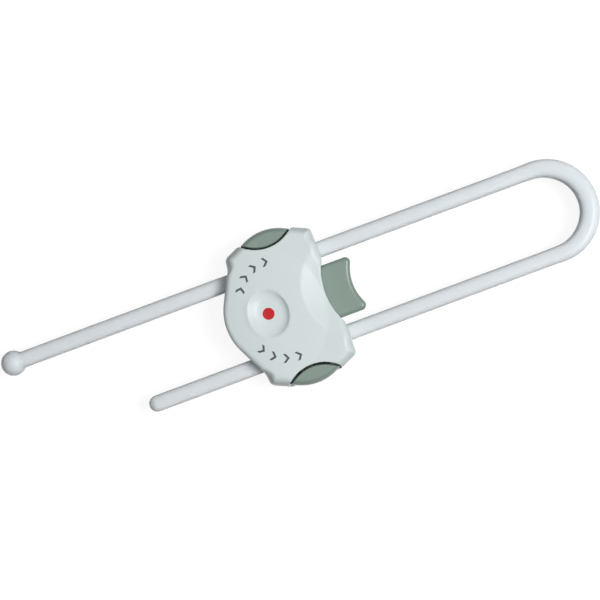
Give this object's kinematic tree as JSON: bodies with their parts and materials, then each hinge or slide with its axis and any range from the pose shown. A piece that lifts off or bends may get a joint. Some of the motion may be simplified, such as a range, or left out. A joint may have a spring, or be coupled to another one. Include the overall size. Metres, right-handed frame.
{
  "type": "cabinet safety lock",
  "caption": "Child-proof cabinet lock: a U-shaped bar for two door handles and a sliding casing with squeeze buttons and a thumb trigger.",
  "frame": {"origin": "on the casing's flat back face, midway between the two squeeze buttons", "axes": "+X along the legs towards the bend, +Y across them towards the long leg, +Z out of the front face"},
  "size_m": [0.2246, 0.0584, 0.0199],
  "materials": {
    "casing": "satin moulded",
    "bar": "glossy moulded",
    "grip": "fine matte grain",
    "slide": "acetal",
    "spring": "drawn wire",
    "screw": "zinc plated"
  },
  "bodies": {
    "casing": {"front_shell": "casing", "rear_cover": "casing", "cover_screws": "screw", "long_leg_latch_spring": "spring", "short_leg_latch_spring": "spring", "trigger_spring": "spring"},
    "bar": {"u_bar": "bar"},
    "long_leg_squeeze": {"long_leg_button": "grip", "long_leg_latch": "slide"},
    "short_leg_squeeze": {"short_leg_button": "grip", "short_leg_latch": "slide"},
    "trigger": {"thumb_trigger": "grip"},
    "long_leg_stop": {"long_leg_bolt": "slide"},
    "short_leg_stop": {"short_leg_bolt": "slide"}
  },
  "joints": [
    {"name": "bar_slide", "type": "slide", "parent": "casing", "child": "bar", "axis": [1, 0, 0], "range_m": [-0.078, 0.078]},
    {"name": "long_leg_button_press", "type": "slide", "parent": "casing", "child": "long_leg_squeeze", "axis": [0, -1, 0], "range_m": [0, 0.002], "stiffness_N_per_m": 400, "springref_m": -0.003, "deforming": ["long_leg_latch_spring"]},
    {"name": "short_leg_button_press", "type": "slide", "parent": "casing", "child": "short_leg_squeeze", "axis": [0, 1, 0], "range_m": [0, 0.002], "stiffness_N_per_m": 400, "springref_m": -0.003, "deforming": ["short_leg_latch_spring"]},
    {"name": "trigger_press", "type": "slide", "parent": "casing", "child": "trigger", "axis": [-1, 0, 0], "range_m": [0, 0.0045], "stiffness_N_per_m": 250, "springref_m": -0.004, "deforming": ["trigger_spring"]},
    {"name": "long_leg_bolt_draw", "type": "slide", "parent": "casing", "child": "long_leg_stop", "axis": [0, -1, 0], "range_m": [0, 0.0015]},
    {"name": "short_leg_bolt_draw", "type": "slide", "parent": "casing", "child": "short_leg_stop", "axis": [0, 1, 0], "range_m": [0, 0.0015]}
  ],
  "couplings": [
    {"joint": "long_leg_bolt_draw", "follows": "trigger_press", "ratio": 0.33333},
    {"joint": "short_leg_bolt_draw", "follows": "trigger_press", "ratio": 0.33333}
  ]
}
